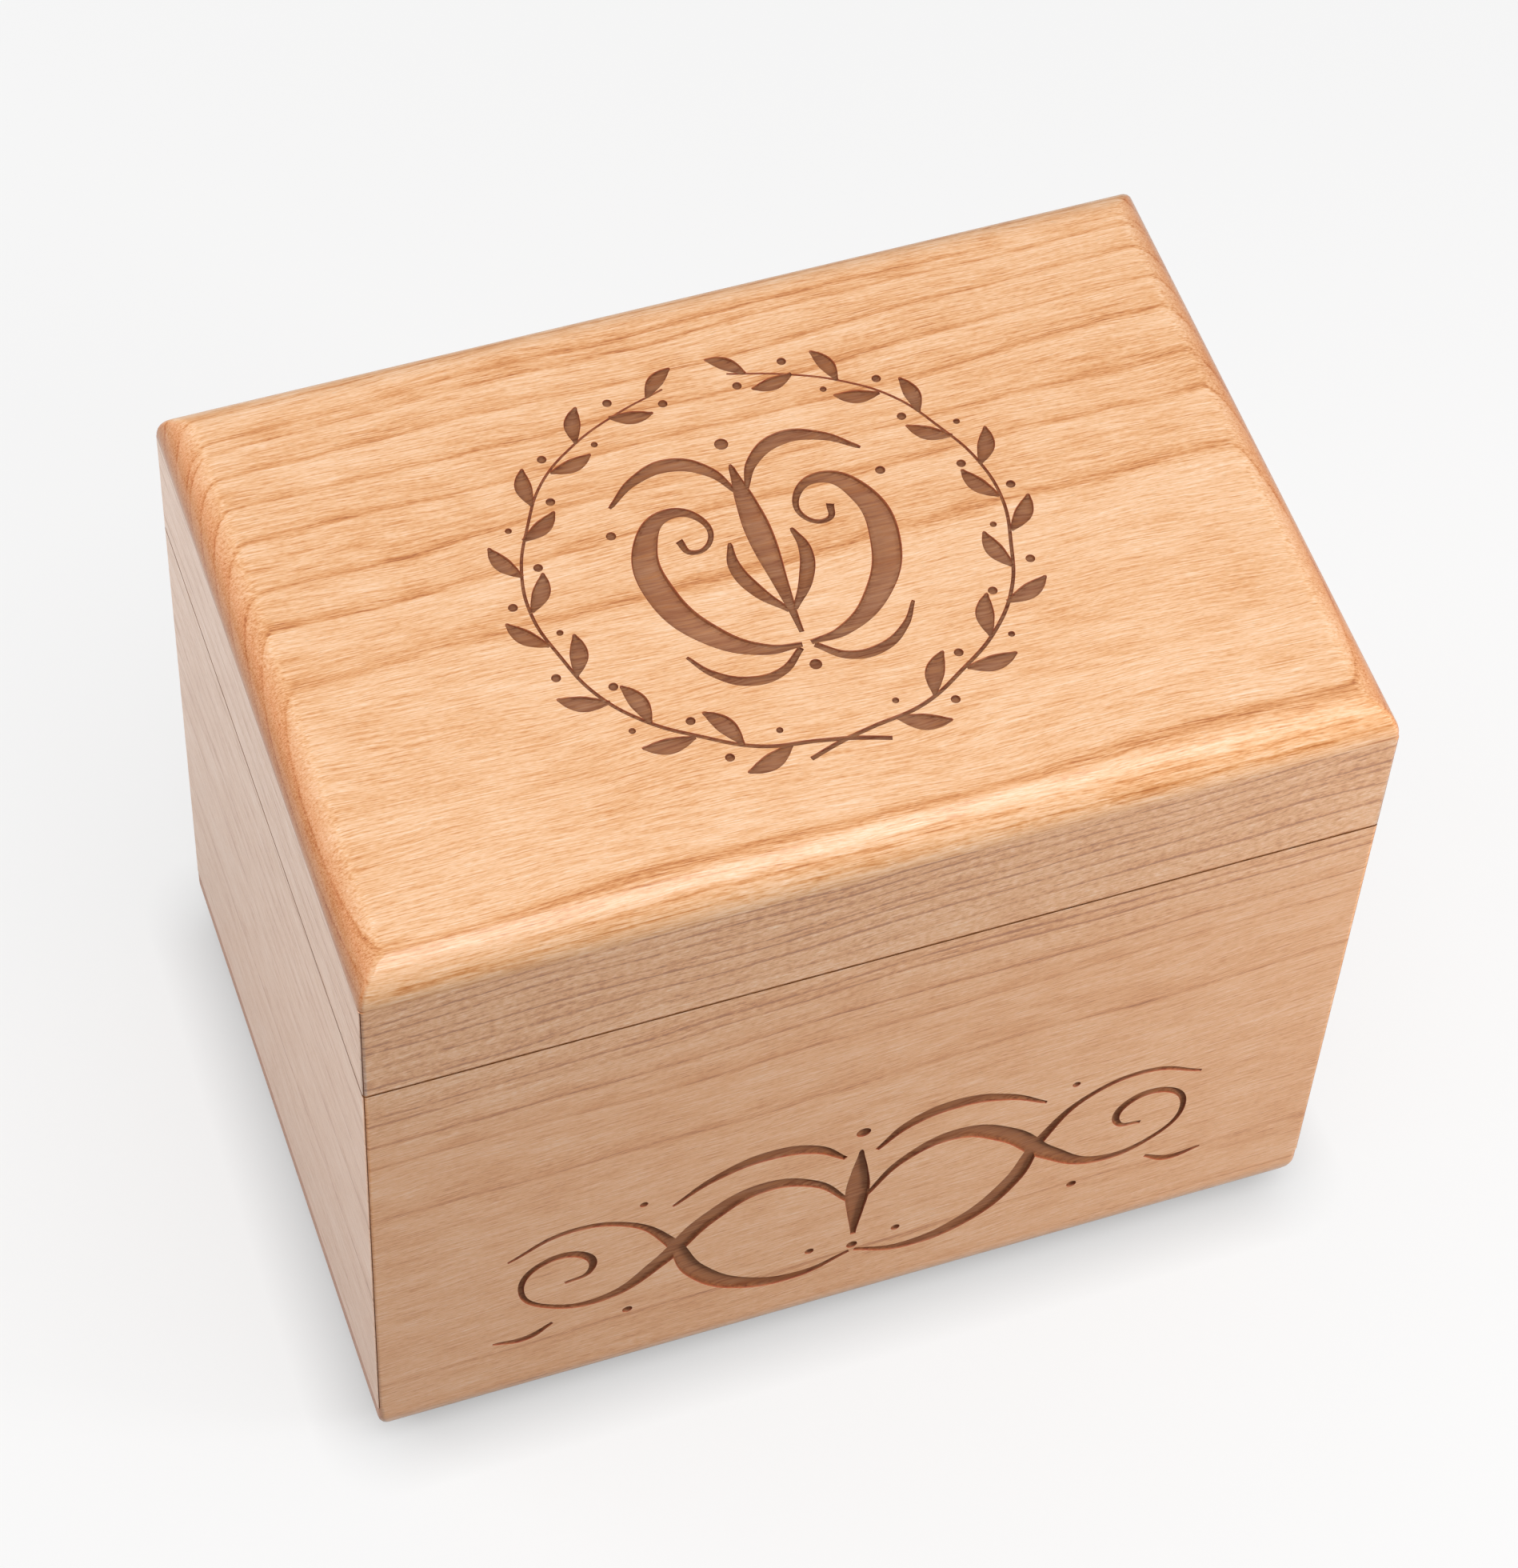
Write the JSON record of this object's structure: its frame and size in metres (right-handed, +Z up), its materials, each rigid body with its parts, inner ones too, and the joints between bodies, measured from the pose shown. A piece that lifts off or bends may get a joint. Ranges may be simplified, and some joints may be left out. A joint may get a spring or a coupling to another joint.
{
  "type": "recipe card box",
  "caption": "Upright wooden card box with mitred corners, rounded top and base edges, and a lid hinged along the back on brass stop hinges.",
  "frame": {"origin": "middle of the underside, on the plane that the box stands on", "axes": "+Z up, front of the box towards -Y, hinges along the back at +Y, width along X"},
  "size_m": [0.184, 0.1317, 0.157],
  "materials": {
    "front_wood": "satin lacquer",
    "back_wood": "satin lacquer",
    "left_wood": "satin lacquer",
    "right_wood": "satin lacquer",
    "top_wood": "satin lacquer",
    "base_wood": "satin lacquer",
    "hinge_brass": "polished",
    "screw_brass": "satin"
  },
  "bodies": {
    "box": {"base_board": "base_wood", "box_front": "front_wood", "box_right": "right_wood", "box_back": "back_wood", "box_left": "left_wood", "left_hinge_box_leaf": "hinge_brass", "left_hinge_box_screw_outer": "screw_brass", "left_hinge_box_screw_inner": "screw_brass", "left_hinge_pin": "hinge_brass", "right_hinge_box_leaf": "hinge_brass", "right_hinge_box_screw_outer": "screw_brass", "right_hinge_box_screw_inner": "screw_brass", "right_hinge_pin": "hinge_brass"},
    "lid": {"lid_top": "top_wood", "lid_front": "front_wood", "lid_right": "right_wood", "lid_back": "back_wood", "lid_left": "left_wood", "left_hinge_lid_leaf": "hinge_brass", "left_hinge_lid_screw_outer": "screw_brass", "left_hinge_lid_screw_inner": "screw_brass", "right_hinge_lid_leaf": "hinge_brass", "right_hinge_lid_screw_outer": "screw_brass", "right_hinge_lid_screw_inner": "screw_brass"}
  },
  "joints": [
    {"name": "lid_hinge", "type": "hinge", "parent": "box", "child": "lid", "pos_m": [0, 0.06595, 0.1237], "axis": [-1, 0, 0], "range_deg": [0, 95]}
  ]
}
